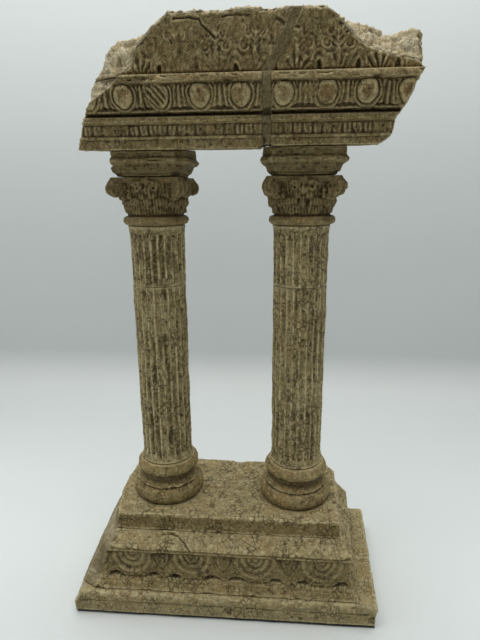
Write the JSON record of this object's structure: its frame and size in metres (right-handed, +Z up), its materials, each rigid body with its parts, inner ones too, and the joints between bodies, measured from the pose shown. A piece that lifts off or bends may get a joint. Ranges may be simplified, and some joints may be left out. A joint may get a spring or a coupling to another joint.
{
  "type": "miniature terrain ruin",
  "caption": "Tabletop ruin of an ancient temple: fluted columns with leafy capitals on a stepped broken base, under a cracked and mended carved entablature.",
  "frame": {"origin": "midway between the two column axes, on the plane the felt pad rests on", "axes": "+Z up along the columns, +X from the left column to the right one seen from the carved front, -Y out of the carved front"},
  "size_m": [0.1824, 0.0922, 0.32],
  "materials": {
    "cast_stone": "matte, crackle-glazed khaki stone look with cream wear and brown wash in the recesses",
    "mortar": "dull grey, sandy",
    "steel": "drawn bar, satin",
    "felt": "dark felt, matte"
  },
  "bodies": {
    "root": {"acanthus_course_left": "cast_stone", "acanthus_course_right": "cast_stone", "architrave_left": "cast_stone", "architrave_right": "cast_stone", "base_carved_course": "cast_stone", "base_plinth": "cast_stone", "base_slab": "cast_stone", "capital_left": "cast_stone", "capital_right": "cast_stone", "column_base_left": "cast_stone", "column_base_right": "cast_stone", "egg_and_dart_course_left": "cast_stone", "egg_and_dart_course_right": "cast_stone", "felt_pad": "felt", "impost_block_left": "cast_stone", "impost_block_right": "cast_stone", "mortar_seam": "mortar", "seam_pin_front": "steel", "seam_pin_rear": "steel", "seam_pin_top": "steel", "shaft_lower_left": "cast_stone", "shaft_lower_right": "cast_stone", "shaft_upper_left": "cast_stone", "shaft_upper_right": "cast_stone", "tie_rod_left": "steel", "tie_rod_right": "steel"}
  },
  "joints": []
}
